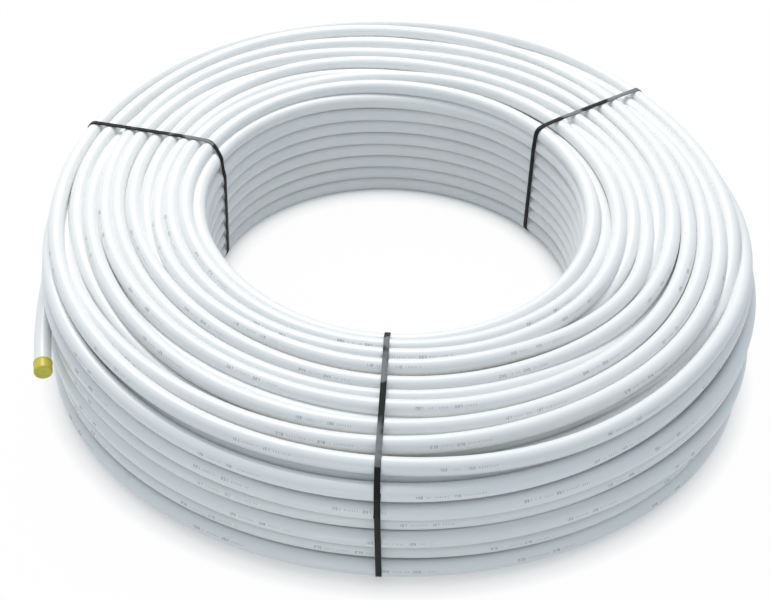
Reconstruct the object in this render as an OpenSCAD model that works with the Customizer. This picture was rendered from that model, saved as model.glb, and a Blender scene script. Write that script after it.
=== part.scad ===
// Coil of white multilayer pipe lying flat, tied with three straps.
// Millimetres, +Z up. The origin is on the floor, in the middle of the bore.

/* [Pipe] */
// Outside diameter of the pipe
pipe_d = 16; // [14:0.5:20]

/* [Winding] */
// Diameter of the bore between the innermost turns
bore_d = 384; // [320:2:420]
// Full layers of turns, counted outward from the bore
layers = 10; // [8:1:12]
// Turns stacked in each full layer
rows = 9; // [7:1:11]
// Height of the groove floor between two turns, above the line through their centres
groove_floor = 2; // [1:0.5:4]
// Depth by which a loose outer turn is pressed into the groove that it lies in
press = 0.3; // [0.2:0.1:0.6]

/* [Free end] */
// Groove that the free end leaves, counted upward from the floor
tail_groove = 5; // [3:1:5]
// Height of the free end above the turn in that groove
tail_rise = 3; // [2:0.5:5]
// Bend radius of the free end, wider than the coil's own
tail_bend_r = 700; // [550:10:900]
// Direction in plan of the cap's mouth
tail_end_deg = 211; // [208:1:225]
// Gap between the cap's mouth and the turn behind it
tail_gap = 2; // [1:0.5:6]

/* [End cap] */
// Wall of the push-on cap around the pipe
cap_wall = 0.8; // [0.5:0.1:1.5]
// Clearance of the cap's wall around the pipe
cap_fit = 0.1; // [0.1:0.05:0.3]
// Whole length of the cap
cap_len = 13; // [10:0.5:20]
// Thickness of the cap's closed end
cap_end_t = 1.5; // [1:0.1:3]
// Rounding of the cap's closed end
cap_edge_r = 1; // [0.4:0.1:1.4]

/* [Straps] */
// Width of a strap
strap_w = 6; // [4:0.5:10]
// Thickness of a strap
strap_t = 0.8; // [0.5:0.1:1.2]
// Gap between a strap and the crests of the turns
strap_gap = 0.2; // [0.1:0.05:0.4]
// Length of the welded lap on a strap's outer run
lap_len = 30; // [15:1:60]
// Direction of the strap at the front
front_strap_deg = 270; // [255:1:285]
// Direction of the strap at the left
left_strap_deg = 162; // [150:1:172]
// Direction of the strap at the right
right_strap_deg = 40; // [20:1:70]

/* [Hidden] */

$fn = 96;
corner_steps = 12;

pipe_r = pipe_d / 2;
// The coil stands on the undersides of its straps
lift = strap_t + strap_gap;
// Grooves between the rows that hold the loose outer turns
loose_grooves = [for (g = [1, 3, 5, 6, 8]) if (g < rows) g];

function layer_r(i) = bore_d / 2 + pipe_r + i * pipe_d;
function row_z(j) = lift + pipe_r + j * pipe_d;
function groove_z(g) = lift + g * pipe_d;

inner_r = layer_r(0);
outer_r = layer_r(layers - 1);
bottom_z = row_z(0);
top_z = row_z(rows - 1);
// A loose turn touches the two turns of its groove, less the depth it is pressed in
loose_r = outer_r + pipe_d * sin(60) - press;
loose_bottom_z = groove_z(loose_grooves[0]);
loose_top_z = groove_z(loose_grooves[len(loose_grooves) - 1]);

cap_r = pipe_r + cap_fit + cap_wall;
tail_z = groove_z(tail_groove) + tail_rise;
// The free end rises from the last full layer and bends away until the cap clears the loose turns
tail_centre_x = outer_r - tail_bend_r;
tail_mouth_r = loose_r + pipe_r + cap_r + tail_gap;
mouth_deg = acos(
  (tail_mouth_r ^ 2 - tail_centre_x ^ 2 - tail_bend_r ^ 2) / (2 * tail_bend_r * tail_centre_x)
);
mouth_swept_deg = atan2(tail_bend_r * sin(mouth_deg), tail_centre_x + tail_bend_r * cos(mouth_deg));
tail_deg = mouth_deg + (cap_len - cap_end_t) / tail_bend_r * 180 / PI;

// Outline of the winding as a strap sees it: the outermost pipe centres, anticlockwise
strap_corners = [
  [inner_r, bottom_z],
  [outer_r, bottom_z],
  [loose_r, loose_bottom_z],
  [loose_r, loose_top_z],
  [outer_r, top_z],
  [inner_r, top_z],
];

function heading(p, q) = atan2(q[1] - p[1], q[0] - p[0]);

// Points of a taut loop around circles of one radius, with an arc at each centre
function taut_loop(centres, rad) =
  let (n = len(centres))
  [for (i = [0:n - 1])
    let (
      arriving = heading(centres[(i + n - 1) % n], centres[i]),
      leaving = heading(centres[i], centres[(i + 1) % n]),
      turn = (leaving - arriving + 360) % 360
    )
    for (k = [0:corner_steps])
      let (a = arriving - 90 + turn * k / corner_steps)
      centres[i] + rad * [cos(a), sin(a)]
  ];

// Half section of the winding: the turns that show, on one core
module winding_section() {
  core_in = [inner_r - groove_floor, bottom_z - groove_floor];
  core_out = [outer_r + groove_floor, top_z + groove_floor];
  translate(core_in) square(core_out - core_in);
  for (i = [0:layers - 1], z = [bottom_z, top_z])
    translate([layer_r(i), z]) circle(r = pipe_r);
  for (j = [1:rows - 2], x = [inner_r, outer_r])
    translate([x, row_z(j)]) circle(r = pipe_r);
  for (g = loose_grooves) {
    translate([loose_r, groove_z(g)]) circle(r = pipe_r);
    // Fills the closed hollow behind a loose turn
    translate([outer_r, groove_z(g) - pipe_r / 2]) square([loose_r - outer_r, pipe_r]);
    // Core behind two loose turns that lie side by side
    if (len([for (h = loose_grooves) if (h == g + 1) h]) > 0)
      translate([outer_r, groove_z(g)]) square([loose_r + groove_floor - outer_r, pipe_d]);
  }
}

// Places its children at the centre of the free end's bend
module at_tail_bend() {
  rotate([0, 0, tail_end_deg - mouth_swept_deg])
    translate([tail_centre_x, 0, tail_z])
      children();
}

// Places its children at the cap's mouth, with +Z along the pipe towards its end
module at_cap_mouth() {
  at_tail_bend()
    rotate([0, 0, mouth_deg])
      translate([tail_bend_r, 0, 0])
        rotate([-90, 0, 0])
          children();
}

module pipe_coil() {
  color("white") {
    rotate_extrude() winding_section();
    at_tail_bend()
      rotate_extrude(angle = tail_deg)
        translate([tail_bend_r, 0]) circle(r = pipe_r);
  }
}

// Half section of the cap, from its open mouth up to its rounded end
module cap_half_section() {
  difference() {
    union() {
      square([cap_r, cap_len - cap_edge_r]);
      square([cap_r - cap_edge_r, cap_len]);
      translate([cap_r - cap_edge_r, cap_len - cap_edge_r]) circle(r = cap_edge_r);
    }
    square([pipe_r + cap_fit, cap_len - cap_end_t]);
  }
}

// Cap pushed over the free end as far as the cut
module end_cap() {
  color("gold")
    at_cap_mouth()
      rotate_extrude() cap_half_section();
}

// One strap pulled taut around the winding, with its welded lap on the outer run
module strap(direction) {
  lap_z = (loose_bottom_z + loose_top_z) / 2 + lap_len / 2;
  color("black")
    rotate([0, 0, direction])
      rotate([90, 0, 0])
        linear_extrude(height = strap_w, center = true) {
          difference() {
            polygon(taut_loop(strap_corners, pipe_r + strap_gap + strap_t));
            polygon(taut_loop(strap_corners, pipe_r + strap_gap));
          }
          translate([loose_r + pipe_r + strap_gap + strap_t / 2, lap_z - lap_len / 2])
            square([1.5 * strap_t, lap_len]);
        }
}

module strap_front() { strap(front_strap_deg); }
module strap_left() { strap(left_strap_deg); }
module strap_right() { strap(right_strap_deg); }

pipe_coil();
end_cap();
strap_front();
strap_left();
strap_right();
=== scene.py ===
"""Looks of a coil of white multilayer pipe that lies flat, tied with three straps."""

import logging
import math
from collections.abc import Callable
from dataclasses import dataclass, field
from enum import Enum

import bpy
import numpy as np
from bpy.types import ID, Material, Node, NodeSocket, Object, World
from mathutils import Matrix, Vector
from mathutils.geometry import convex_hull_2d


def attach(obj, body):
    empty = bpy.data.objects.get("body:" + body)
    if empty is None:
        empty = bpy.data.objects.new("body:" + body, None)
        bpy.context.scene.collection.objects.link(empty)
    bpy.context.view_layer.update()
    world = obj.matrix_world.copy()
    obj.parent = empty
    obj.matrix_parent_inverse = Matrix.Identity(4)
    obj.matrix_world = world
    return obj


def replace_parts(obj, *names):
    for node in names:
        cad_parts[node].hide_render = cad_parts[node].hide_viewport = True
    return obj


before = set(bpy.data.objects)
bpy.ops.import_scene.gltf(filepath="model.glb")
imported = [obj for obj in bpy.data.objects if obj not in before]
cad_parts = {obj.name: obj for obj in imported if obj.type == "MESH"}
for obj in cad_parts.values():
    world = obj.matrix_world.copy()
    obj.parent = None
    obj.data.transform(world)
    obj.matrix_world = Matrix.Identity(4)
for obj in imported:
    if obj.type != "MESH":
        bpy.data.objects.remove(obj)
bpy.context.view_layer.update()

log = logging.getLogger("pipe_coil")

Array = np.ndarray
Pair = tuple[float, float]
Triple = tuple[float, float, float]
Colour = tuple[float, float, float, float]
Table = tuple[Pair, ...]
Faces = list[tuple[int, ...]]

MM = 0.001
BODY = "root"
WHITE: Colour = (1.0, 1.0, 1.0, 1.0)
# Bearing between two stations of a run of pipe, in degrees
STEP_DEG = 30
# Lowest and highest place of a pipe's centre, in millimetres
LOWEST, HIGHEST = 9.0, 137.0
# Sockets of a Mix node that carry its share, its two colours and its result
MIX_SHARE, MIX_FIRST, MIX_SECOND, MIX_RESULT = 0, 6, 7, 2
# Strength of each finer layer of a cloudy texture, as a share of the coarser one's
FINER_SHARE = 0.55


class Slot(Enum):
    """Material slots of the record."""

    PIPE = "pipe"
    CAP = "cap"
    STRAP = "strap"


class Ray(Enum):
    """Kinds of ray that see the plain white background."""

    CAMERA = "Is Camera Ray"
    GLOSSY = "Is Glossy Ray"
    TRANSMISSION = "Is Transmission Ray"


def operator(
    operation: str, reflected: bool = False
) -> Callable[["Signal", "Signal | float"], "Signal"]:
    """Makes one arithmetic operator for signals.

    Args:
        operation: Operation of the Math node that it adds.
        reflected: Whether the signal is the second of the two values.

    Returns:
        The operator.
    """

    def work(self: "Signal", other: "Signal | float") -> "Signal":
        """Adds the node for this signal and another value."""
        return self.graph.maths(operation, *((other, self) if reflected else (self, other)))

    return work


class Signal:
    """A node's output that takes part in arithmetic."""

    def __init__(self, graph: "Graph", socket: NodeSocket) -> None:
        """Keeps the output and the graph that it belongs to."""
        self.graph = graph
        self.socket = socket

    __add__ = operator("ADD")
    __radd__ = operator("ADD", reflected=True)
    __sub__ = operator("SUBTRACT")
    __rsub__ = operator("SUBTRACT", reflected=True)
    __mul__ = operator("MULTIPLY")
    __rmul__ = operator("MULTIPLY", reflected=True)
    __truediv__ = operator("DIVIDE")
    __rtruediv__ = operator("DIVIDE", reflected=True)
    __pow__ = operator("POWER")
    __rpow__ = operator("POWER", reflected=True)


class Graph:
    """The node graph of one material or of the world."""

    def __init__(self, owner: Material | World) -> None:
        """Empties the owner's nodes.

        Args:
            owner: Material or world whose nodes are made here.
        """
        owner.use_nodes = True
        self.tree = owner.node_tree
        self.tree.nodes.clear()

    def node(
        self,
        kind: str,
        settings: dict[str, object] | None = None,
        inputs: dict[str | int, object] | None = None,
    ) -> Node:
        """Adds one node of any type.

        Args:
            kind: Blender's name of the node type, after "ShaderNode".
            settings: Properties, set before the sockets.
            inputs: Values or signals by the socket's name or number.

        Returns:
            The node.
        """
        made = self.tree.nodes.new("ShaderNode" + kind)
        for name, value in (settings or {}).items():
            setattr(made, name, value)
        for name, value in (inputs or {}).items():
            if isinstance(value, Signal):
                self.tree.links.new(value.socket, made.inputs[name])
            else:
                made.inputs[name].default_value = value
        return made

    def out(self, made: Node, name: str | int = 0) -> Signal:
        """Takes one output of a node as a signal."""
        return Signal(self, made.outputs[name])

    def maths(self, operation: str, first: Signal | float, second: Signal | float) -> Signal:
        """Works on two values."""
        made = self.node("Math", {"operation": operation}, {0: first, 1: second})
        return self.out(made)

    def limited(self, value: Signal) -> Signal:
        """Keeps a value between 0 and 1."""
        return self.out(self.node("Clamp", None, {0: value}))

    def risen(self, value: Signal, low: float, high: float) -> Signal:
        """Gives how far a value has come from low to high, as a share."""
        return self.out(self.node("MapRange", None, {0: value, 1: low, 2: high}))

    def colours(self, share: Signal, first: Signal | Colour, second: Signal | Colour) -> Signal:
        """Mixes two colours.

        Args:
            share: Share of the second colour.
            first: Colour where the share is 0.
            second: Colour where the share is 1.

        Returns:
            The mixed colour.
        """
        inputs = {MIX_SHARE: share, MIX_FIRST: first, MIX_SECOND: second}
        return self.out(self.node("Mix", {"data_type": "RGBA"}, inputs), MIX_RESULT)

    def place(self) -> Signal:
        """Gives the place on the object, in metres."""
        return self.out(self.node("TexCoord"), "Object")

    def along_turns(self, across: float, along: float) -> Signal:
        """Stretches the place so that marks run along the turns.

        Args:
            across: Repeats for each metre across the pipe.
            along: Repeats for each radian around the coil.

        Returns:
            A vector for a texture.
        """
        parts = self.node("SeparateXYZ", None, {0: self.place()})
        x, y, z = (self.out(parts, i) for i in range(3))
        radius = (x * x + y * y) ** 0.5
        bearing = self.maths("ARCTAN2", y, x)
        inputs = {0: radius * across, 1: z * across, 2: bearing * along}
        return self.out(self.node("CombineXYZ", None, inputs))

    def noise(self, scale: float, detail: float = 3.0, place: Signal | None = None) -> Signal:
        """Gives a cloudy value about one half.

        Args:
            scale: Size of the clouds, as repeats for each metre.
            detail: Number of finer layers.
            place: Vector to read it at; the place on the object if left out.

        Returns:
            The value.
        """
        inputs = {"Scale": scale, "Detail": detail, "Roughness": FINER_SHARE}
        inputs["Vector"] = place or self.place()
        return self.out(self.node("TexNoise", None, inputs), "Fac")

    def drawn(self, spread: Pair, detail: float) -> Signal:
        """Gives a cloudy value that is drawn out along the turns."""
        return self.noise(1.0, detail, self.along_turns(*spread))

    def bump(self, height: Signal, depth: float, strength: float = 0.5) -> Signal:
        """Makes relief from a height.

        Args:
            height: Height between 0 and 1.
            depth: Depth of the relief in metres.
            strength: Share of the relief that shows.

        Returns:
            The normal.
        """
        inputs = {"Strength": strength, "Distance": depth, "Height": height}
        return self.out(self.node("Bump", None, inputs))

    def seen_by(self, *rays: Ray) -> Signal:
        """Gives 1 for a ray of one of these kinds, and 0 for any other."""
        path = self.node("LightPath")
        return self.limited(sum((self.out(path, ray.value) for ray in rays), 0.0))

    def mixed(self, share: Signal, first: Node, second: Node) -> Signal:
        """Mixes two shaders by the share of the second."""
        inputs = {0: share, 1: self.out(first), 2: self.out(second)}
        return self.out(self.node("MixShader", None, inputs))

    def surface(self, inputs: dict[str, object]) -> None:
        """Ends the material in a Principled surface with these inputs."""
        made = self.node("BsdfPrincipled", None, inputs)
        self.node("OutputMaterial", None, {"Surface": self.out(made)})


@dataclass(frozen=True)
class PipeFinish:
    """Satin white polyethylene with faint drawn lines and a little handling dirt."""

    clean: Colour = (0.88, 0.88, 0.87, 1.0)
    dull: Colour = (0.80, 0.81, 0.80, 1.0)
    dirt: Colour = (0.52, 0.53, 0.52, 1.0)
    cloud_scale: float = 9.0
    line_spread: Pair = (620.0, 5.0)
    rub_spread: Pair = (240.0, 26.0)
    rub_range: Pair = (0.66, 0.8)
    speck_scale: float = 900.0
    speck_range: Pair = (0.74, 0.82)
    grain_scale: float = 420.0
    cloud_dulls: float = 0.9
    line_dulls: float = 0.5
    dull_from: float = 0.45
    rub_soils: float = 0.28
    speck_soils: float = 0.35
    roughness: float = 0.34
    cloud_roughens: float = 0.12
    rub_roughens: float = 0.2
    relief: float = 0.06 * MM
    relief_share: float = 0.6

    def material(self) -> Material:
        """Builds the pipe's material.

        Returns:
            The material.
        """
        made = bpy.data.materials.new("white_polyethylene")
        g = Graph(made)
        clouds = g.noise(self.cloud_scale, 4.0)
        lines = g.drawn(self.line_spread, 3.0)
        rubs = g.risen(g.drawn(self.rub_spread, 5.0), *self.rub_range)
        specks = g.risen(g.noise(self.speck_scale, 2.0), *self.speck_range)
        dullness = clouds * self.cloud_dulls + lines * self.line_dulls - self.dull_from
        colour = g.colours(g.limited(dullness), self.clean, self.dull)
        soiled = g.limited(rubs * self.rub_soils + specks * self.speck_soils)
        rough = self.roughness + (clouds - 0.5) * self.cloud_roughens + rubs * self.rub_roughens
        relief = lines * 0.5 + g.noise(self.grain_scale) * 0.5
        g.surface(
            {
                "Base Color": g.colours(soiled, colour, self.dirt),
                "Roughness": g.limited(rough),
                "Normal": g.bump(relief, self.relief, self.relief_share),
            }
        )
        return made


@dataclass(frozen=True)
class CloudedFinish:
    """A finish whose colour and gloss wander between two shades."""

    name: str
    main: Colour
    other: Colour
    roughness: float
    roughens: float
    contrast: float = 1.0
    other_from: float = 0.0
    detail: float = 3.0
    scale: float = 1.0
    spread: Pair | None = None
    grain_scale: float | None = None
    relief: float = 0.05 * MM

    def material(self) -> Material:
        """Builds the finish's material.

        Returns:
            The material.
        """
        made = bpy.data.materials.new(self.name)
        g = Graph(made)
        place = g.along_turns(*self.spread) if self.spread else None
        clouds = g.noise(self.scale, self.detail, place)
        share = g.limited(clouds * self.contrast - self.other_from)
        inputs = {
            "Base Color": g.colours(share, self.main, self.other),
            "Roughness": g.limited(self.roughness + (clouds - 0.5) * self.roughens),
        }
        if self.grain_scale:
            inputs["Normal"] = g.bump(g.noise(self.grain_scale, 2.0), self.relief)
        g.surface(inputs)
        return made


@dataclass(frozen=True)
class CapFinish(CloudedFinish):
    """Soft yellow polyethylene of a push-on cap."""

    name: str = "yellow_polyethylene"
    main: Colour = (0.60, 0.51, 0.03, 1.0)
    other: Colour = (0.66, 0.58, 0.09, 1.0)
    roughness: float = 0.36
    roughens: float = 0.2
    contrast: float = 1.4
    other_from: float = 0.35
    detail: float = 4.0
    scale: float = 120.0
    grain_scale: float | None = 2600.0


@dataclass(frozen=True)
class InkFinish(CloudedFinish):
    """Grey marking ink, thin and uneven."""

    name: str = "grey_ink"
    main: Colour = (0.09, 0.09, 0.10, 1.0)
    other: Colour = (0.50, 0.51, 0.52, 1.0)
    roughness: float = 0.5
    roughens: float = 0.3
    contrast: float = 3.0
    other_from: float = 1.0
    scale: float = 700.0


@dataclass(frozen=True)
class PaintedShadeFinish(CloudedFinish):
    """Painted shade: a dim grey sheet inside the winding, put where the hidden white turns lie in
    shade, seen only through its narrowest gaps.
    """

    name: str = "painted_shade_core"
    # Both greys are painted shade; the turns they stand in for are white pipe
    main: Colour = (0.30, 0.31, 0.32, 1.0)
    other: Colour = (0.42, 0.43, 0.44, 1.0)
    roughness: float = 0.6
    roughens: float = 0.2
    detail: float = 2.0
    spread: Pair | None = (120.0, 3.0)


@dataclass(frozen=True)
class StrapFinish:
    """Thin black polypropylene band with fine ribs, and painted sheen: grey patches painted on its
    top run stand in for glints of the overhead light.
    """

    black: Colour = (0.006, 0.006, 0.007, 1.0)
    # Grey that the painted sheen patches and a little random grain lean towards
    sheen_and_grain_grey: Colour = (0.26, 0.26, 0.265, 1.0)
    # Height above which the painted sheen shows
    top_run: float = 142 * MM
    cloud_scale: float = 26.0
    grain_scale: float = 300.0
    rib_scale: float = 420.0
    rib_distortion: float = 0.4
    sheen_contrast: float = 14.0
    sheen_shows: float = 0.85
    grain_shows: float = 0.06
    roughness: float = 0.38
    grain_roughens: float = 0.3
    ior: float = 1.4
    specular: float = 0.16
    relief: float = 0.12 * MM

    def material(self) -> Material:
        """Builds the strap's material.

        Returns:
            The material.
        """
        made = bpy.data.materials.new("black_polypropylene")
        g = Graph(made)
        clouds = g.noise(self.cloud_scale, 2.0)
        height = g.out(g.node("SeparateXYZ", None, {0: g.place()}), 2)
        on_top = g.limited((height - self.top_run) / MM)
        # Painted sheen: grey patches on the band's top run stand in for glints of the overhead
        # light
        painted_sheen = g.limited((clouds - 0.5) * self.sheen_contrast) * on_top
        grain = g.noise(self.grain_scale)
        wave = {"Scale": self.rib_scale, "Distortion": self.rib_distortion}
        ribs = g.out(g.node("TexWave", {"bands_direction": "DIAGONAL"}, wave), "Fac")
        sheen_and_grain = g.limited(painted_sheen * self.sheen_shows + grain * self.grain_shows)
        g.surface(
            {
                "Base Color": g.colours(sheen_and_grain, self.black, self.sheen_and_grain_grey),
                "Roughness": g.limited(self.roughness + (grain - 0.5) * self.grain_roughens),
                "IOR": self.ior,
                "Specular IOR Level": self.specular,
                "Normal": g.bump(ribs, self.relief),
            }
        )
        return made


@dataclass(frozen=True)
class FloorFinish:
    """Pale matt studio floor that shows nearly white, with the coil's shadow on it; near the coil's
    foot, painted contact shade from ambient occlusion takes away the white so that the floor's own
    shading shows.
    """

    pale: Colour = (0.80, 0.81, 0.82, 1.0)
    glow: float = 0.98
    # Reach of the painted contact shade around the coil's foot
    contact: float = 22 * MM
    contact_samples: int = 6

    def material(self) -> Material:
        """Builds the floor's material.

        Returns:
            The material.
        """
        made = bpy.data.materials.new("studio_floor")
        g = Graph(made)
        seen = g.seen_by(Ray.CAMERA, Ray.GLOSSY)
        samples, reach = {"samples": self.contact_samples}, {"Distance": self.contact}
        # Painted contact shade: ambient occlusion fades the white out near the coil's foot
        away_from_painted_shade = g.out(g.node("AmbientOcclusion", samples, reach), "AO")
        matt = g.node("BsdfDiffuse", None, {"Color": self.pale})
        white = g.node("Emission", None, {"Color": WHITE, "Strength": 1.0})
        shown = g.mixed(seen * away_from_painted_shade * self.glow, matt, white)
        g.node("OutputMaterial", None, {"Surface": shown})
        return made


def directions(line: Array, closed: bool) -> Array:
    """Works out which way a line runs.

    Args:
        line: Points of the line.
        closed: Whether the line returns to its start.

    Returns:
        The unit direction at each point.
    """
    ahead = np.roll(line, -1, 0) - np.roll(line, 1, 0)
    if not closed:
        ahead[0], ahead[-1] = line[1] - line[0], line[-1] - line[-2]
    return ahead / np.linalg.norm(ahead, axis=1)[:, None]


def lengths_along(line: Array) -> Array:
    """Gives the length of a line up to each of its points."""
    steps = np.linalg.norm(np.diff(line, axis=0), axis=1)
    return np.concatenate([[0], np.cumsum(steps)])


def aside_and_up(ahead: Array) -> tuple[Array, Array]:
    """Works out the two directions square to a line.

    Args:
        ahead: Unit direction along the line, at one point or at each.

    Returns:
        The level unit direction to its right, and the upward one.
    """
    aside = np.cross(ahead, (0.0, 0.0, 1.0))
    aside /= np.linalg.norm(aside, axis=-1, keepdims=True)
    return aside, np.cross(aside, ahead)


def skin(rings: int, sides: int, closed: bool, turned: bool = False) -> Faces:
    """Joins rings of points into a skin.

    Args:
        rings: Number of rings, one after another.
        sides: Points in each ring.
        closed: Whether the last ring joins the first.
        turned: Whether each face's corners go the other way round.

    Returns:
        The faces; the last two of an open skin close its ends.
    """
    faces = []
    for i in range(rings if closed else rings - 1):
        j = (i + 1) % rings
        for k in range(sides):
            m = (k + 1) % sides
            face = (i * sides + k, j * sides + k, j * sides + m, i * sides + m)
            faces.append((face[0], *face[:0:-1]) if turned else face)
    if not closed:
        first = tuple(range(sides))
        last = tuple((rings - 1) * sides + k for k in reversed(range(sides)))
        faces += [first[::-1], last[::-1]] if turned else [first, last]
    return faces


def placed(name: str, data: ID) -> Object:
    """Puts a mesh, light or camera into the scene.

    Args:
        name: Name of the object.
        data: The mesh, light or camera.

    Returns:
        The object.
    """
    made = bpy.data.objects.new(name, data)
    bpy.context.scene.collection.objects.link(made)
    return made


@dataclass
class MeshDraft:
    """Points and faces of one piece while it is being made."""

    points: list[Array] = field(default_factory=list)
    faces: Faces = field(default_factory=list)
    count: int = 0

    def add(self, points: Array, faces: Faces) -> None:
        """Adds a part.

        Args:
            points: One row for each point, in metres.
            faces: Corners of each face, counted from the part's first point.
        """
        self.points.append(points)
        self.faces += [tuple(i + self.count for i in face) for face in faces]
        self.count += len(points)

    def piece(self, name: str, material: Material, slot: Slot, smooth: bool = True) -> Object:
        """Turns the draft into an object that rides on the coil.

        Args:
            name: Name of the piece.
            material: Its material.
            slot: Slot of the record that its finish comes from; not used.
            smooth: Whether its faces are shaded smooth.

        Returns:
            The object.
        """
        mesh = bpy.data.meshes.new(name)
        mesh.from_pydata(np.concatenate(self.points).tolist(), [], self.faces)
        mesh.polygons.foreach_set("use_smooth", [smooth] * len(mesh.polygons))
        mesh.materials.append(material)
        mesh.update()
        made = placed(name, mesh)
        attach(made, BODY)
        log.info("%s: %d triangles", name, sum(len(face) - 2 for face in self.faces))
        return made


@dataclass
class TubeMaker:
    """Sweeps a round section along a line."""

    radius: float = 8 * MM
    sides: int = 24

    def sweep(self, line: Array, closed: bool, sides: int | None = None) -> tuple[Array, Faces]:
        """Makes a tube.

        Args:
            line: Points of the centre line.
            closed: Whether the line returns to its start.
            sides: Faces around the tube, if not the usual number.

        Returns:
            The points and the faces.
        """
        sides = sides or self.sides
        out, up = aside_and_up(directions(line, closed))
        turn = np.arange(sides) * 2 * math.pi / sides
        cos, sin = np.cos(turn)[None, :, None], np.sin(turn)[None, :, None]
        ring = out[:, None] * cos + up[:, None] * sin
        points = (line[:, None] + self.radius * ring).reshape(-1, 3)
        return points, skin(len(line), sides, closed)


@dataclass(frozen=True)
class Turns:
    """One run of pipe around the coil, given at even steps of bearing.

    Radii and heights are those of the pipe's centre, in millimetres.
    """

    radii: tuple[float, ...]
    heights: tuple[float, ...] | float
    start: int = 0
    closed: bool = True

    def spline(self, values: Array, at: Array) -> Array:
        """Draws a smooth line through evenly spaced values.

        Args:
            values: One value for each step.
            at: Places to read, counted in steps.

        Returns:
            The line's values at those places.
        """
        n = len(values)
        rows = 4 * np.eye(n) + np.eye(n, k=1) + np.eye(n, k=-1)
        if self.closed:
            rows[0, -1] = rows[-1, 0] = 1
        else:
            rows[0, 0] = rows[-1, -1] = 2
        padded = np.pad(values, 1, mode="wrap" if self.closed else "edge")
        slope = np.linalg.solve(rows, 3 * (padded[2:] - padded[:-2]))
        low = np.minimum(at.astype(int), n - 1 if self.closed else n - 2)
        high = (low + 1) % n
        t = at - low
        return (
            values[low] * (1 + 2 * t) * (1 - t) ** 2
            + slope[low] * t * (1 - t) ** 2
            + values[high] * t * t * (3 - 2 * t)
            + slope[high] * t * t * (t - 1)
        )

    def line(self, per_turn: int, wander: "Wander") -> Array:
        """Samples the centre line.

        Args:
            per_turn: Points in one turn.
            wander: Small unevenness of a hand-fed winding.

        Returns:
            Points in metres.
        """
        stations = len(self.radii)
        steps = stations if self.closed else stations - 1
        count = round(steps * STEP_DEG / 360 * per_turn)
        at = np.linspace(0, steps, count, endpoint=not self.closed)
        bearing = np.radians(self.start + at * STEP_DEG)
        shift, drop = wander.draw(bearing)
        radii = (self.spline(np.array(self.radii, float), at) + shift) * MM
        heights = np.broadcast_to(np.array(self.heights, float), stations)
        heights = self.spline(heights, at) - drop
        heights = np.clip(heights, LOWEST, HIGHEST) * MM
        return np.stack([radii * np.cos(bearing), radii * np.sin(bearing), heights], 1)


@dataclass
class Wander:
    """Small unevenness of each turn, the same in every run; distances in millimetres."""

    sideways: float = 0.5
    down: float = 0.5
    usual_drop: float = 0.6
    drop_swing: float = 0.5
    waves: tuple[int, ...] = (2, 3, 5, 8)
    seed: int = 16

    def __post_init__(self) -> None:
        """Starts the row of random numbers."""
        self.random = np.random.default_rng(self.seed)

    def draw(self, bearing: Array) -> tuple[Array, Array]:
        """Draws the unevenness of the next run of pipe.

        Args:
            bearing: Bearings along the run, in radians.

        Returns:
            Sideways shift and drop at each bearing, in millimetres; the drop is never negative.
        """
        shift = np.zeros_like(bearing)
        drop = np.zeros_like(bearing)
        for wave in self.waves:
            a, b = self.random.uniform(0, 2 * math.pi, 2)
            shift += np.sin(wave * bearing + a) / wave
            drop += np.sin((wave + 1) * bearing + b) / wave
        drop = (self.usual_drop + self.drop_swing * drop).clip(0, None)
        return self.sideways * shift, self.down * drop


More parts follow.
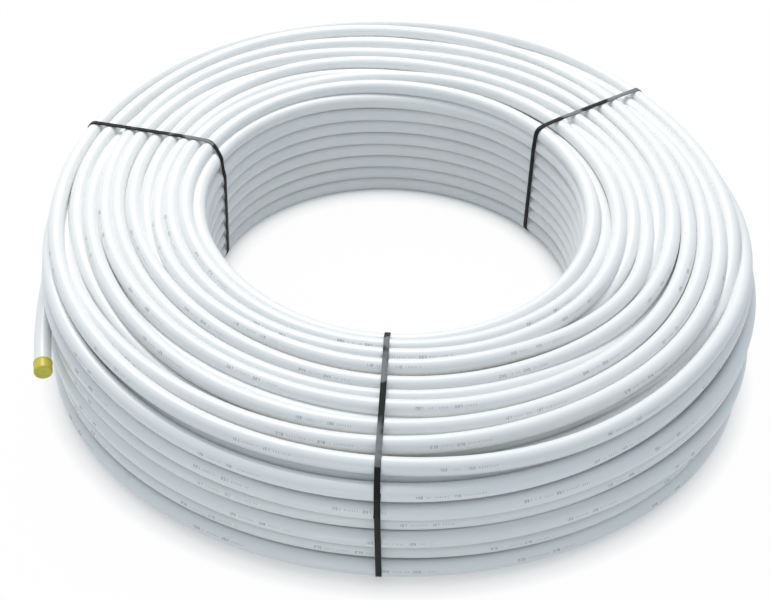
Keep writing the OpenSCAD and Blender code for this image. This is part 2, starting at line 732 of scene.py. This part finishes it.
@dataclass
class Winding:
    """All the turns of the coil, as they lie on its top, bore, outside and underside.

    Radii, heights and the pitch are in millimetres.
    """

    tube: TubeMaker
    finish: Material
    painted_shade_finish: Material
    wander: Wander = field(default_factory=Wander)
    pitch: float = 16.0
    bore_rows: int = 7
    outer_rows: int = 8
    rings: int = 8
    first_raised: float = 0.6
    second_height: float = 119.5
    second_radius: float = 216.0
    under_radius: float = 215.5
    core_corners: Table = ((207, 16), (330, 16), (330, 112), (207, 112))
    core_steps: int = 96
    per_turn: int = 216
    measured_per_turn: int = 720
    outer_sides: int = 20
    # Points in a turn and faces around the tube, where the turns hardly show
    under_mesh: tuple[int, int] = (144, 16)
    second_mesh: tuple[int, int] = (120, 12)

    def top_turns(self) -> list[Turns]:
        """Lists the runs of the top face, from the bore outward.

        Each row gives the first bearing of an open run, its radii and its depths below the top.

        Returns:
            The runs.
        """
        level = (0,)
        rows = (
            (270, (208, 203, 197, 197.5, 204, 205.5, 205.3, 208, 208.5, 202.5, 195, 190.5, 190,
             191.5, 194.5, 198.3, 204.5, 210, 214.3, 220, 219, 214.5, 207.5, 204.5, 203.7, 206,
             210, 211.5, 216.7, 221, 223),
             (22, 20, 18, 16, 15.5, 15.5, 14.2, 11, 10, 6.5, 5.5, 6.5, 6.5, 4.5, 2, 0, 1, 1.5,
             1.5, 2, 1.5, 0, 0, 0, 0, 0, 0.5, 8, 10, 12.5, 18)),
            (None, (224.5, 229, 234.5, 233.5, 234.5, 235, 229, 222, 217.3, 215.3, 218.5, 223),
             (0, 0, 0, 1, 1, *level * 7)),
            (None, (239.5, 243, 244.5, 246, 249.5, 245.5, 241, 237, 228.5, 228.4, 232, 249, 252,
             255, 254.5, 259, 268.7, 262, 253, 245.5, 236, 228, 224, 232),
             (0, 4, 10, 9, 3, *level * 14, 8, 14, 18, 18, 10)),
            (300, (247, 255, 264.5, 271, 278, 278.5, 292.7, 294, 283, 267, 261.5, 262, 266.5, 276.8,
             287, 298),
             (18, 11, 1, *level * 6, 5, 3.5, 3.5, 4.5, 11, 14.5, 19)),
            (30, (263, 266, 268.2, 281, 278, 268, 253, 247, 248.7, 253, 266.5, 279, 289, 299, 301,
             311.7, 309, 295.5, 282, 275.4, 276.2, 280.5, 287, 294.5, 304.5, 320, 329, 334.7,
             328, 323, 311, 309.5, 308.7, 311, 328, 337.5, 340, 349, 349, 350, 345.5, 339.5,
             338, 339, 340, 344.5, 345.5, 350, 347, 350, 355, 353, 340, 322),
             (18, 10, 11, 9, 2, *level * 24, 1, 9, 13, 15, 17, 13, 0, 0, 0, 2, 2, *level * 6, 1,
             12, 16, 16, 15, 18, 23, 25)),
            (None, (310, 317, 309.5, 315, 323, 317, 308, 299.5, 300.4, 299.2, 298.5, 303.5),
             (0, 3, 11, 8, 10, 9, *level * 6)),
            (None, (323.5, 326, 334, 338.5, 343, 337, 331, 327, 321.9, 318.2, 315, 320),
             (0, 3, 7, 13, 15, 15, 13, 3, 0, 0, 0, 0)),
            (30, (278, 288.5, 290, 302, 303), (17, 10, 9, 11.5, 18)),
            (150, (287, 290, 290, 288, 288, 289.5, 295, 302), (18, 15, 11.5, 7, 8.5, 12.5, 15, 18)),
        )
        return [
            Turns(radii, tuple(HIGHEST - depth for depth in depths), start or 0, start is None)
            for start, radii, depths in rows
        ]

    def bore_turns(self) -> list[Turns]:
        """Lists the lower turns of the bore's wall, from the floor upward.

        Returns:
            The runs.
        """
        foot = np.array((201, 205.5, 204.5, 203, 205, 206.5, 203, 199, 196, 196, 197, 199))
        lean = np.array((-3, -1, 1, 2, 2, -1.5, -2.5, -5, -6, -6, -5, -4)) / self.bore_rows
        pitch = np.array((15.3, 14.6, 16.0, 16.1, 16.8, 17.2, 17.2, 17, 16.8, 16.7, 16.5, 15.9))
        raised = np.array((5, 6.5, 1, 0, 0, 0, 0, 0, 0, 0, 0, 2))
        return [
            Turns(
                tuple(foot + lean * row),
                tuple(LOWEST + pitch * row + raised * (1 if row else self.first_raised)),
            )
            for row in range(self.bore_rows)
        ]

    def loose_turns(self) -> list[Turns]:
        """Lists the loose outer turns, from the floor upward.

        Returns:
            The runs.
        """
        usual = (354, 349, 353, 357, 356, 351, 346)
        rows = (
            ((*usual, 356, 357.5, 357.4, 359.5, 365.5),
             (13, 17, 17, 17, 17, 17, 17, 14, 18, 21, 17, 14)),
            ((346, 343, 346, 349, 348, 345, 340, 352, 351, 351, 354, 358),
             (33, 33, 33, 33, 33, 33, 34, 36, 34, 38.5, 34, 30)),
            ((*usual, 355, 357, 357.4, 360, 367),
             (52, 49, 49, 49, 49, 49, 50, 62, 61, 61.5, 61, 58)),
            ((354, 349, 353, 357, 356, 350, 343, 351, 350.5, 350, 351, 361),
             (83, 81, 81, 81, 81, 82, 83, 80, 75, 77.5, 75, 84)),
            ((*usual, 353, 356.5, 357.4, 359, 362),
             (100, 97, 97, 97, 97, 97, 99, 107, 103, 100, 101, 103)),
            ((350, 345, 350, 355, 354, 348, 343, 348.5, 352.5, 355, 352, 350.5),
             (118, 116, 115, 115, 115, 117, 121, 126, 121, 121, 119, 121)),
        )
        return [Turns(radii, heights) for radii, heights in rows]

    def outer_layer(self) -> list[Turns]:
        """Lists the last full layer, which shows between the loose turns."""
        wall = (336, 332, 336, 340, 339, 335, 329, 334, 337, 337, 339, 342)
        return [Turns(wall, LOWEST + self.pitch * row) for row in range(self.outer_rows)]

    def plain_turns(self, first: float, height: float) -> list[Turns]:
        """Lists round turns at one height, a pitch apart, from the first radius outward."""
        radii = (first + self.pitch * i for i in range(self.rings))
        return [Turns((radius,) * (360 // STEP_DEG), height) for radius in radii]

    def groups(self) -> tuple[tuple[str, list[Turns], int, int], ...]:
        """Lists each group's name, its runs, the points in a turn and the faces around.

        Returns:
            One row for each group, the plainest with fewer faces.
        """
        usual = self.per_turn, self.tube.sides
        under = self.plain_turns(self.under_radius, LOWEST)
        second = self.plain_turns(self.second_radius, self.second_height)
        return (
            ("turns_top", self.top_turns(), *usual),
            ("turns_bore", self.bore_turns(), *usual),
            ("turns_loose", self.loose_turns(), *usual),
            ("turns_outer_layer", self.outer_layer(), self.per_turn, self.outer_sides),
            ("turns_under", under, *self.under_mesh),
            ("turns_second", second, *self.second_mesh),
        )

    def measured(self) -> dict[str, list[Array]]:
        """Samples the centre lines finely, with the unevenness of the built turns.

        Returns:
            The lines of each group by its name.
        """
        wander = Wander()
        return {
            name: [run.line(self.measured_per_turn, wander) for run in runs]
            for name, runs, *_ in self.groups()
        }

    def core(self) -> None:
        """Builds the core, a sheet in painted shade that closes the view through the winding."""
        points = [
            (radius * MM * math.cos(b), radius * MM * math.sin(b), height * MM)
            for b in np.arange(self.core_steps) * 2 * math.pi / self.core_steps
            for radius, height in self.core_corners
        ]
        draft = MeshDraft()
        draft.add(np.array(points), skin(self.core_steps, len(self.core_corners), True))
        draft.piece("painted_shade_core", self.painted_shade_finish, Slot.PIPE)

    def build(self) -> None:
        """Builds each group of turns as one piece, and the core."""
        for name, runs, per_turn, sides in self.groups():
            draft = MeshDraft()
            for run in runs:
                draft.add(*self.tube.sweep(run.line(per_turn, self.wander), run.closed, sides))
            made = draft.piece(name, self.finish, Slot.PIPE)
            if name == "turns_top":
                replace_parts(made, "pipe_coil")
        self.core()


@dataclass
class FreeEnd:
    """The pipe's free end, which bends away from the coil, with its cap."""

    tube: TubeMaker
    pipe_finish: Material
    cap_finish: Material
    bend: float = 700 * MM
    leaves: float = 344 * MM
    mouth_radius: float = 376.46 * MM
    mouth_bearing: float = 211.0
    height: float = 84 * MM
    hidden_angle: float = 0.02
    small_angle: float = 0.001
    stations: int = 48
    cap_length: float = 13 * MM
    cap_end: float = 1.5 * MM
    cap_radius: float = 8.9 * MM
    cap_play: float = 0.3 * MM
    # Steps in from the outside and distances from the mouth, in millimetres
    cap_rim: Table = (
        (0.8, 0.25), (0.6, 0.0), (0.35, 0.0), (0.1, 0.12),
        (0.0, 0.4), (0.0, 1.9), (0.28, 2.2), (0.3, 3.0),
    )
    # Steps in from the outside and distances back from the closed end, in millimetres
    cap_crown: Table = (
        (0.3, 1.6), (0.36, 1.0), (0.6, 0.45), (1.0, 0.14), (1.5, 0.0),
        (2.3, 0.0), (2.8, 0.35), (7.5, 0.45), (7.9, 0.3), (8.9, 0.25),
    )
    cap_sides: int = 48

    def __post_init__(self) -> None:
        """Works out the bend's centre and the angle at the cap's mouth."""
        offset = self.leaves - self.bend
        across = self.mouth_radius**2 - offset**2 - self.bend**2
        mouth = math.acos(across / (2 * self.bend * offset))
        swept = math.atan2(self.bend * math.sin(mouth), offset + self.bend * math.cos(mouth))
        self.offset = offset
        self.mouth = mouth
        self.turned = math.radians(self.mouth_bearing) - swept

    def point(self, angle: float) -> Array:
        """Gives a point of the centre line.

        Args:
            angle: Angle around the centre of the bend, in radians.

        Returns:
            The point.
        """
        x = self.offset + self.bend * math.cos(angle)
        y = self.bend * math.sin(angle)
        c, s = math.cos(self.turned), math.sin(self.turned)
        return np.array([x * c - y * s, x * s + y * c, self.height])

    def build(self) -> None:
        """Builds the pipe's end and the cap on it."""
        inside = self.mouth + (self.cap_length - self.cap_end - self.cap_play) / self.bend
        angles = np.linspace(-self.hidden_angle, inside, self.stations)
        draft = MeshDraft()
        draft.add(*self.tube.sweep(np.array([self.point(a) for a in angles]), False))
        draft.piece("free_end", self.pipe_finish, Slot.PIPE)
        self.cap()

    def cap(self) -> None:
        """Builds the cap as one turned shell with a rounded rim and a shallow dish in its end."""
        radius, length, count = self.cap_radius, self.cap_length, self.cap_sides
        profile = [(radius - step * MM, z * MM) for step, z in self.cap_rim]
        profile += [(radius - step * MM, length - z * MM) for step, z in self.cap_crown]
        start = self.point(self.mouth)
        ahead = self.point(self.mouth + self.small_angle) - start
        ahead /= np.linalg.norm(ahead)
        out, up = aside_and_up(ahead)
        points = [
            start + ahead * z + r * (out * math.cos(a) + up * math.sin(a))
            for r, z in profile[:-1]
            for a in np.arange(count) * 2 * math.pi / count
        ]
        points.append(start + ahead * profile[-1][1])
        rings = len(profile) - 1
        last, tip = (rings - 1) * count, len(points) - 1
        faces = skin(rings, count, closed=False, turned=True)[:-2]
        faces += [(last + k, last + (k + 1) % count, tip) for k in range(count)]
        draft = MeshDraft()
        draft.add(np.array(points), faces)
        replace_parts(draft.piece("cap_shell", self.cap_finish, Slot.CAP), "end_cap")


@dataclass
class Way:
    """A stretch of a pipe's centre line, read by the length along it."""

    line: Array
    around: float

    def __post_init__(self) -> None:
        """Measures the stretch."""
        self.lengths = lengths_along(self.line)
        self.length = float(self.lengths[-1])

    def centre(self, along: float) -> Array:
        """Gives the centre line's point at a length."""
        return np.array([np.interp(along, self.lengths, self.line[:, i]) for i in range(3)])

    def at(self, along: float, turn: float, reach: float) -> Array:
        """Gives a point on the pipe's skin.

        Args:
            along: Length along the pipe.
            turn: Angle from the print's own line around the pipe.
            reach: Distance from the centre line.

        Returns:
            The point.
        """
        ahead = self.centre(along + 1 * MM) - self.centre(along - 1 * MM)
        out, up = aside_and_up(ahead / np.linalg.norm(ahead))
        angle = self.around + turn
        return self.centre(along) + reach * (out * math.cos(angle) + up * math.sin(angle))


@dataclass(frozen=True)
class MarkZone:
    """Where the marks show on one face of the coil; angles in degrees."""

    first_bearing: float
    last_bearing: float
    around: float
    lowest: float = 0.0


@dataclass
class MetreMarks:
    """Plain metre numbers and ticks in grey ink along the pipe."""

    tube: TubeMaker
    finish: Material
    top_zone: MarkZone = MarkZone(186, 354, 34, 135 * MM)
    side_zone: MarkZone = MarkZone(205, 335, 14)
    around_spread: float = 14
    fewest_points: int = 40
    lift: float = 0.05 * MM
    height: float = 2.4 * MM
    width: float = 1.4 * MM
    stroke: float = 0.3 * MM
    space: float = 0.9 * MM
    tick_space: float = 2.1 * MM
    tick_share: float = 0.85
    # Start and length of a tick across the pipe, as shares of a digit's height
    tick_span: Pair = (0.2, 0.6)
    tick_rows: tuple[int, int] = (5, 12)
    word_spaces: int = 3
    copies: int = 2
    numbers: tuple[int, int] = (8, 160)
    lead: Pair = (5, 90)
    repeat: Pair = (115, 190)
    tail: float = 75 * MM
    next_share: float = 0.3
    seed: int = 5

    def __post_init__(self) -> None:
        """Starts the draft and the row of random numbers."""
        self.draft = MeshDraft()
        self.random = np.random.default_rng(self.seed)

    def patch(self, along: float, across: float, length: float, breadth: float) -> None:
        """Lays one rectangle of ink on the pipe.

        Args:
            along: Start along the pipe.
            across: Start across the pipe.
            length: Length along the pipe.
            breadth: Breadth across the pipe.
        """
        end, far = along + length, across + breadth
        corners = ((along, across), (end, across), (end, far), (along, far))
        reach = self.tube.radius + self.lift
        points = np.array([self.way.at(u, v / reach, reach) for u, v in corners])
        self.draft.add(points, [(0, 1, 2, 3)])

    def digit(self, value: int, along: float) -> None:
        """Prints one digit from plain strokes.

        Args:
            value: Digit between 0 and 9.
            along: Start along the pipe.
        """
        w, h, s = self.width, self.height, self.stroke
        strokes = (
            (0, h - s, w, s), (w - s, h / 2, s, h / 2), (w - s, 0, s, h / 2), (0, 0, w, s),
            (0, 0, s, h / 2), (0, h / 2, s, h / 2), (0, (h - s) / 2, w, s),
        )
        shown = "012345 12 01346 01236 1256 02356 023456 012 0123456 012356".split()[value]
        for i in shown:
            x, y, length, breadth = strokes[int(i)]
            self.patch(along + x, y, length, breadth)

    def mark(self, number: int, along: float) -> None:
        """Prints a number and a row of ticks, and then both again.

        Args:
            number: Length of pipe up to this mark, in metres.
            along: Start along the pipe.
        """
        low, tall = (share * self.height for share in self.tick_span)
        for _ in range(self.copies):
            for value in f"{number:03d}":
                self.digit(int(value), along)
                along += self.width + self.space
            along += self.word_spaces * self.space
            for _ in range(int(self.random.integers(*self.tick_rows))):
                if self.random.random() < self.tick_share:
                    self.patch(along, low, self.stroke, tall)
                along += self.tick_space
            along += self.word_spaces * self.space

    def run(self, line: Array, zone: MarkZone) -> None:
        """Prints marks along one run of pipe.

        Args:
            line: Centre line of the run.
            zone: Where its marks show.
        """
        bearing = np.degrees(np.arctan2(line[:, 1], line[:, 0])) % 360
        inside = (bearing > zone.first_bearing) & (bearing < zone.last_bearing)
        inside &= line[:, 2] > zone.lowest
        edges = np.flatnonzero(np.diff(inside, prepend=False, append=False))
        for start, stop in edges.reshape(-1, 2):
            if stop - start > self.fewest_points:
                self.stretch(line[start:stop], zone.around)

    def stretch(self, line: Array, around: float) -> None:
        """Prints marks along one stretch that shows.

        Args:
            line: Centre line of the stretch.
            around: Turn of the print around the pipe, from outward towards up, in degrees.
        """
        spread = self.around_spread
        self.way = Way(line, math.radians(around + self.random.uniform(-spread, spread)))
        along = self.random.uniform(*self.lead) * MM
        number = int(self.random.integers(*self.numbers))
        while along < self.way.length - self.tail:
            self.mark(number, along)
            along += self.random.uniform(*self.repeat) * MM
            number += self.random.random() < self.next_share

    def build(self, top: list[Array], side: list[Array]) -> None:
        """Prints the marks on the coil.

        Args:
            top: Centre lines of the turns on the top face.
            side: Centre lines of the loose outer turns.
        """
        for line in top:
            self.run(line, self.top_zone)
        for line in side:
            self.run(line, self.side_zone)
        self.draft.piece("metre_marks", self.finish, Slot.PIPE, smooth=False)


@dataclass(frozen=True)
class Lean:
    """How far a strap runs to the side of its bearing, in metres."""

    outside: float
    rim: float
    wall: float
    foot: float


@dataclass
class Strap:
    """One band pulled taut around the winding, with a welded lap."""

    name: str
    bearing: float
    lean: Lean
    tube: TubeMaker
    finish: Material
    lines: list[Array]
    width: float = 5.4 * MM
    thickness: float = 0.8 * MM
    gap: float = 0.15 * MM
    catch: float = 3.2 * MM
    spacing: float = 2.5 * MM
    lap_length: float = 30 * MM
    lap_height: float = 112 * MM
    lap_beyond: float = 300 * MM
    lap_lift: float = 0.8
    lap_thickness: float = 0.55
    edge: float = 0.3
    hull_steps: int = 48
    smoothing: int = 9
    # Radii and heights between which the lean changes
    top_span: Pair = (215 * MM, 350 * MM)
    ring_span: Pair = (212 * MM, 344 * MM)
    wall_heights: Triple = (15 * MM, 130 * MM, 142 * MM)
    outer_heights: Pair = (15 * MM, 142 * MM)
    top_heights: Pair = (122 * MM, 135 * MM)

    def aside(self, radius: Array, height: Array) -> Array:
        """Gives how far the band runs to the side of its bearing.

        Args:
            radius: Distances from the coil's axis.
            height: Heights above the floor.

        Returns:
            Sideways distances in metres.
        """
        lean = self.lean
        across = np.interp(radius, self.top_span, (lean.rim, lean.outside))
        inside = np.interp(height, self.wall_heights, (lean.foot, lean.wall, lean.rim))
        outer = np.interp(height, self.outer_heights, (0.0, lean.outside))
        share = np.interp(radius, self.ring_span, (0.0, 1.0))
        below = inside * (1 - share) + outer * share
        on_top = np.interp(height, self.top_heights, (0.0, 1.0)) * (share > 0) * (share < 1)
        return across * on_top + below * (1 - on_top)

    def section(self) -> Array:
        """Finds where the turns pass under the strap.

        Returns:
            Radius and height of each pipe centre near the strap's path.
        """
        b = math.radians(self.bearing)
        found = []
        for line in self.lines:
            radius = np.hypot(line[:, 0], line[:, 1])
            side = line[:, 1] * math.cos(b) - line[:, 0] * math.sin(b)
            front = line[:, 0] * math.cos(b) + line[:, 1] * math.sin(b) > 0
            near = front & (np.abs(side - self.aside(radius, line[:, 2])) < self.catch)
            found.append(np.stack([radius[near], line[near, 2]], 1))
        return np.concatenate(found)

    def hull(self, reach: float) -> Array:
        """Draws the taut outline around the turns.

        Args:
            reach: Distance from the pipe centres.

        Returns:
            Corners of the outline, anticlockwise.
        """
        turn = np.linspace(0, 2 * math.pi, self.hull_steps, endpoint=False)
        rim = np.stack([np.cos(turn), np.sin(turn)], 1) * reach
        cloud = (self.section()[:, None] + rim[None]).reshape(-1, 2)
        corners = cloud[convex_hull_2d(cloud.tolist())]
        return np.roll(corners, -int(np.argmin(corners[:, 0])), 0)

    def even(self, outline: Array) -> Array:
        """Spreads points evenly along a closed outline.

        Args:
            outline: Corners of the outline.

        Returns:
            The points.
        """
        closed = np.vstack([outline, outline[:1]])
        length = lengths_along(closed)
        at = np.linspace(0, length[-1], round(length[-1] / self.spacing), endpoint=False)
        return np.stack([np.interp(at, length, closed[:, i]) for i in range(2)], 1)

    def band(self, inner: Array, thickness: float, closed: bool) -> tuple[Array, Faces]:
        """Makes a flat band with rounded edges along a line.

        Args:
            inner: Radius and height of the band's inner face.
            thickness: Thickness of the band.
            closed: Whether the band returns to its start.

        Returns:
            The points and the faces.
        """
        ahead = directions(inner, closed)
        normal = np.stack([ahead[:, 1], -ahead[:, 0]], 1)
        half, edge = self.width / 2, thickness * self.edge
        ring = [(-half + edge, 0.0), (half - edge, 0.0), (half, edge), (half, thickness - edge)]
        ring += [(-across, thickness - depth) for across, depth in ring]
        b = math.radians(self.bearing)
        out = np.array([math.cos(b), math.sin(b), 0.0])
        side = np.array([-math.sin(b), math.cos(b), 0.0])
        shift = self.aside(inner[:, 0], inner[:, 1])
        ends = self.smoothing // 2
        shift = np.concatenate([shift[-ends:], shift, shift[:ends]])
        shift = np.convolve(shift, np.full(self.smoothing, 1 / self.smoothing), "valid")
        reach = np.sqrt(np.maximum(inner[:, 0] ** 2 - shift**2, 0))
        points = [
            out * (r + n[0] * depth) + side * (across + aside) + np.array([0, 0, z + n[1] * depth])
            for r, z, n, aside in zip(reach, inner[:, 1], normal, shift)
            for across, depth in ring
        ]
        return np.array(points), skin(len(inner), len(ring), closed, turned=True)

    def build(self) -> None:
        """Builds the band and its lap."""
        outline = self.even(self.hull(self.tube.radius + self.gap))
        draft = MeshDraft()
        draft.add(*self.band(outline, self.thickness, True))
        outside = outline[:, 0] > self.lap_beyond
        near = np.abs(outline[:, 1] - self.lap_height) < self.lap_length / 2
        outer = outline[outside & near]
        outer = outer[np.argsort(outer[:, 1])]
        lap = outer + np.array([self.thickness * self.lap_lift, 0.0])
        draft.add(*self.band(lap, self.thickness * self.lap_thickness, False))
        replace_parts(draft.piece(f"{self.name}_band", self.finish, Slot.STRAP), self.name)


@dataclass(frozen=True)
class Softbox:
    """A square soft light that faces the coil."""

    name: str
    place: Triple
    size: float
    watts: float
    tint: Triple
    aim_height: float = 80 * MM

    def build(self) -> None:
        """Hangs the light."""
        lamp = bpy.data.lights.new(self.name, "AREA")
        lamp.shape = "SQUARE"
        lamp.size = self.size
        lamp.energy = self.watts
        lamp.color = self.tint
        made = placed(self.name, lamp)
        made.location = self.place
        aim = Vector((0, 0, self.aim_height)) - Vector(self.place)
        made.rotation_euler = aim.to_track_quat("-Z", "Y").to_euler()


@dataclass
class Studio:
    """Floor, soft light and camera around the coil."""

    floor_finish: Material
    floor_half: float = 12.0
    lamps: tuple[Softbox, ...] = (
        Softbox("overhead", (-0.45, 1.35, 2.0), 1.3, 42.0, (1.0, 0.95, 0.91)),
        Softbox("low_front", (-0.4, -2.3, 0.27), 0.4, 3.5, (1.0, 0.96, 0.78)),
    )
    fill_tint: Colour = (0.83, 0.96, 1.07, 1.0)
    fill_strength: float = 0.57
    camera_place: Triple = (0.0, -1.0187, 0.9558)
    ahead: Triple = (-0.00576, 0.73092, -0.68244)
    right: Triple = (0.99876, 0.03801, 0.03228)
    lens: float = 60.14
    sensor: float = 36.0
    clip: Pair = (0.05, 50.0)

    def floor(self) -> None:
        """Lays the floor under the coil."""
        s = self.floor_half
        mesh = bpy.data.meshes.new("floor")
        mesh.from_pydata([(-s, -s, 0), (s, -s, 0), (s, s, 0), (-s, s, 0)], [], [(0, 1, 2, 3)])
        mesh.materials.append(self.floor_finish)
        placed("floor", mesh)

    def world(self) -> None:
        """Fills the room with plain pale light and shows a white background."""
        made = bpy.data.worlds.new("studio")
        bpy.context.scene.world = made
        g = Graph(made)
        fill, white = (
            g.node("Background", None, {"Color": tint, "Strength": strength})
            for tint, strength in ((self.fill_tint, self.fill_strength), (WHITE, 1.0))
        )
        shown = g.mixed(g.seen_by(*Ray), fill, white)
        g.node("OutputWorld", None, {"Surface": shown})

    def camera(self) -> None:
        """Sets up the camera."""
        lens = bpy.data.cameras.new("camera")
        lens.sensor_width = self.sensor
        lens.lens = self.lens
        lens.clip_start, lens.clip_end = self.clip
        ahead, right = Vector(self.ahead).normalized(), Vector(self.right)
        right = (right - ahead * right.dot(ahead)).normalized()
        turn = Matrix((right, right.cross(ahead), -ahead)).transposed().to_4x4()
        made = placed("camera", lens)
        made.matrix_world = Matrix.Translation(self.camera_place) @ turn
        bpy.context.scene.camera = made

    def build(self) -> None:
        """Sets up the whole studio."""
        self.floor()
        for lamp in self.lamps:
            lamp.build()
        self.world()
        self.camera()
        bpy.context.scene.view_settings.view_transform = "Standard"


def main() -> None:
    """Builds the coil and its studio."""
    logging.basicConfig(level=logging.INFO, format="%(name)s %(message)s")
    pipe = PipeFinish().material()
    black = StrapFinish().material()
    tube = TubeMaker()
    winding = Winding(tube, pipe, PaintedShadeFinish().material())
    winding.build()
    FreeEnd(tube, pipe, CapFinish().material()).build()
    groups = winding.measured()
    marks = MetreMarks(tube, InkFinish().material())
    marks.build(groups["turns_top"], groups["turns_loose"])
    lines = [line for group in groups.values() for line in group]
    for name, bearing, lean in (
        ("strap_front", 270.0, Lean(-5.5 * MM, -3.5 * MM, -2.0 * MM, 0.0)),
        ("strap_left", 162.0, Lean(2.5 * MM, -17.0 * MM, -4.0 * MM, -3.5 * MM)),
        ("strap_right", 40.0, Lean(-2.0 * MM, 8.0 * MM, 6.9 * MM, 4.0 * MM)),
    ):
        Strap(name, bearing, lean, tube, black, lines).build()
    Studio(FloorFinish().material()).build()
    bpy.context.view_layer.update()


if __name__ == "__main__":
    main()
